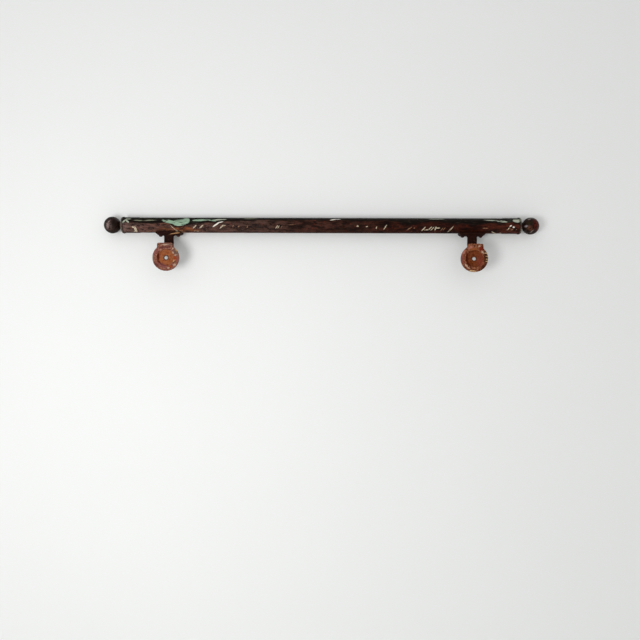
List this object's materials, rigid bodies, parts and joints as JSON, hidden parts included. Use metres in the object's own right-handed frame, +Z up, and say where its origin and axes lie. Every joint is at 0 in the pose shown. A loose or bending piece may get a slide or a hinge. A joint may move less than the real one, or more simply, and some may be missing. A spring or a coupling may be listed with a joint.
{
  "type": "curtain rod with brackets",
  "caption": "Wall curtain rod: steel tube with pressed ferrules and screw-on ball finials, carried on cast gooseneck brackets with round wall flanges and saddles.",
  "frame": {"origin": "on the wall, midway between the wall screw holes of the brackets", "axes": "+X along the rod, +Y out of the wall into the room, +Z up"},
  "size_m": [0.7312, 0.0411, 0.0933],
  "materials": {
    "painted_tube": "old dark red-brown paint with mint green and cream remnants",
    "painted_casting": "rusted cast iron with dark paint and pale flakes",
    "painted_finial": "near-black worn paint",
    "painted_screw": "painted over with the bracket",
    "bare_steel": "dull bare steel",
    "plug_wood": "plain turned wood"
  },
  "bodies": {
    "rod_and_brackets": {"rod_tube": "painted_tube", "left_ferrule": "painted_tube", "left_ferrule_tack": "bare_steel", "left_end_plug": "plug_wood", "left_bracket": "painted_casting", "left_nut_strip": "bare_steel", "left_outer_saddle_screw": "painted_screw", "left_inner_saddle_screw": "painted_screw", "right_ferrule": "painted_tube", "right_ferrule_tack": "bare_steel", "right_end_plug": "plug_wood", "right_bracket": "painted_casting", "right_nut_strip": "bare_steel", "right_outer_saddle_screw": "painted_screw", "right_inner_saddle_screw": "painted_screw"},
    "left_stud": {"left_finial_stud": "bare_steel", "left_finial_collar": "painted_finial"},
    "left_ball": {"left_finial_ball": "painted_finial"},
    "right_stud": {"right_finial_stud": "bare_steel", "right_finial_collar": "painted_finial"},
    "right_ball": {"right_finial_ball": "painted_finial"}
  },
  "joints": [
    {"name": "left_finial_travel", "type": "slide", "parent": "rod_and_brackets", "child": "left_stud", "axis": [-1, 0, 0], "range_m": [0, 0.0204]},
    {"name": "left_finial_turn", "type": "hinge", "parent": "left_stud", "child": "left_ball", "pos_m": [-0.351, 0.027, 0.057], "axis": [-1, 0, 0], "range_deg": [0, 2880]},
    {"name": "right_finial_travel", "type": "slide", "parent": "rod_and_brackets", "child": "right_stud", "axis": [1, 0, 0], "range_m": [0, 0.0204]},
    {"name": "right_finial_turn", "type": "hinge", "parent": "right_stud", "child": "right_ball", "pos_m": [0.351, 0.027, 0.057], "axis": [1, 0, 0], "range_deg": [0, 2880]}
  ],
  "couplings": [
    {"joint": "left_finial_travel", "follows": "left_finial_turn", "m_per_rad": 0.00040425},
    {"joint": "right_finial_travel", "follows": "right_finial_turn", "m_per_rad": 0.00040425}
  ]
}
